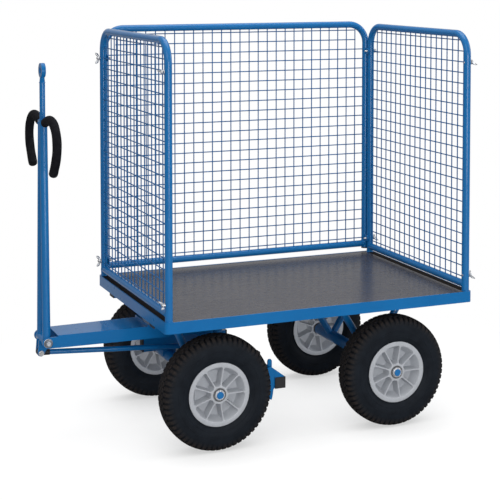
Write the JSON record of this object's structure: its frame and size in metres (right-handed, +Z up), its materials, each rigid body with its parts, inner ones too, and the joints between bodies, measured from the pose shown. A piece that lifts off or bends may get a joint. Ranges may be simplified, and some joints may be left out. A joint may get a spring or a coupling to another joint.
{
  "type": "platform trolley",
  "caption": "Platform trolley with turntable steering, drawbar brake, pneumatic wheels and wire mesh walls on three sides of a plywood deck.",
  "frame": {"origin": "on the floor, under the middle of the deck", "axes": "+Z up, -X forward towards the drawbar, -Y towards the open loading side"},
  "size_m": [1.5665, 0.8224, 1.4519],
  "materials": {
    "blue_paint": "satin powder coat",
    "blue_wire": "satin powder coat on wire",
    "deck": "film-faced plywood with a fine anti-slip grain",
    "zinc": "bright zinc plate",
    "steel": "ground steel",
    "black_plastic": "black moulded plastic",
    "rim_grey": "light grey moulded plastic",
    "tyre": "black rubber, ribbed and blocked tread",
    "foam": "soft black foam sleeve",
    "black_steel": "blackened steel"
  },
  "bodies": {
    "chassis": {"deck_frame": "blue_paint", "deck_board": "deck", "deck_screws": "zinc", "cross_flats": "blue_paint", "longitudinal_bearers": "blue_paint", "bearer_caps": "black_plastic", "rear_cross_members": "blue_paint", "front_panel_frame": "blue_paint", "front_panel_mesh": "blue_wire", "rear_panel_frame": "blue_paint", "rear_panel_mesh": "blue_wire", "side_panel_frame": "blue_paint", "side_panel_mesh": "blue_wire", "side_post_caps": "black_plastic", "wing_screws": "zinc", "turntable_top_plate": "blue_paint", "turntable_top_ring": "zinc", "turntable_top_bolts": "zinc", "king_bolt": "zinc", "rear_struts": "blue_paint", "rear_axle": "blue_paint", "rear_axle_washers": "zinc"},
    "bogie": {"bogie_plate": "blue_paint", "turntable_bottom_ring": "zinc", "turntable_balls": "steel", "turntable_bottom_bolts": "zinc", "front_struts": "blue_paint", "bogie_rails": "blue_paint", "bogie_rail_caps": "black_plastic", "front_axle": "blue_paint", "front_axle_washers": "zinc", "drawbar_arm": "blue_paint", "drawbar_pivot_bolt": "zinc", "brake_pivot_shaft": "zinc"},
    "handle": {"handle_pivot_tube": "blue_paint", "handle_legs": "blue_paint", "handle_bar": "blue_paint", "tow_eye": "blue_paint", "grip_rods": "blue_paint", "grip_sleeves": "foam", "brake_lever": "blue_paint", "lever_pin": "zinc"},
    "brake_link": {"rod_eye": "black_steel", "brake_rod": "blue_paint"},
    "brake_bar": {"brake_beam": "blue_paint", "brake_beam_caps": "black_plastic", "brake_hangers": "blue_paint", "brake_shoes": "blue_paint"},
    "wheel_front_left": {"front_left_tyre": "tyre", "front_left_rim": "rim_grey", "front_left_bearings": "steel"},
    "wheel_front_right": {"front_right_tyre": "tyre", "front_right_rim": "rim_grey", "front_right_bearings": "steel"},
    "wheel_rear_left": {"rear_left_tyre": "tyre", "rear_left_rim": "rim_grey", "rear_left_bearings": "steel"},
    "wheel_rear_right": {"rear_right_tyre": "tyre", "rear_right_rim": "rim_grey", "rear_right_bearings": "steel"}
  },
  "joints": [
    {"name": "steer", "type": "hinge", "parent": "chassis", "child": "bogie", "pos_m": [-0.395, 0, 0.404], "axis": [0, 0, 1], "range_deg": [-90, 90]},
    {"name": "handle_tilt", "type": "hinge", "parent": "bogie", "child": "handle", "pos_m": [-0.919, 0, 0.359], "axis": [0, -1, 0], "range_deg": [0, 100]},
    {"name": "rod_swing", "type": "hinge", "parent": "handle", "child": "brake_link", "pos_m": [-0.933, 0, 0.313], "axis": [0, -1, 0], "range_deg": [-101.5, 0]},
    {"name": "brake_swing", "type": "hinge", "parent": "bogie", "child": "brake_bar", "pos_m": [-0.29, 0, 0.37], "axis": [0, -1, 0], "range_deg": [0, 39]},
    {"name": "front_left_roll", "type": "hinge", "parent": "bogie", "child": "wheel_front_left", "pos_m": [-0.395, -0.33, 0.202], "axis": [0, 1, 0], "continuous": true},
    {"name": "front_right_roll", "type": "hinge", "parent": "bogie", "child": "wheel_front_right", "pos_m": [-0.395, 0.33, 0.202], "axis": [0, 1, 0], "continuous": true},
    {"name": "rear_left_roll", "type": "hinge", "parent": "chassis", "child": "wheel_rear_left", "pos_m": [0.298, -0.33, 0.202], "axis": [0, 1, 0], "continuous": true},
    {"name": "rear_right_roll", "type": "hinge", "parent": "chassis", "child": "wheel_rear_right", "pos_m": [0.298, 0.33, 0.202], "axis": [0, 1, 0], "continuous": true}
  ],
  "couplings": [
    {"joint": "rod_swing", "follows": "handle_tilt", "ratio": -1.012},
    {"joint": "brake_swing", "follows": "handle_tilt", "ratio": 0.3875}
  ]
}
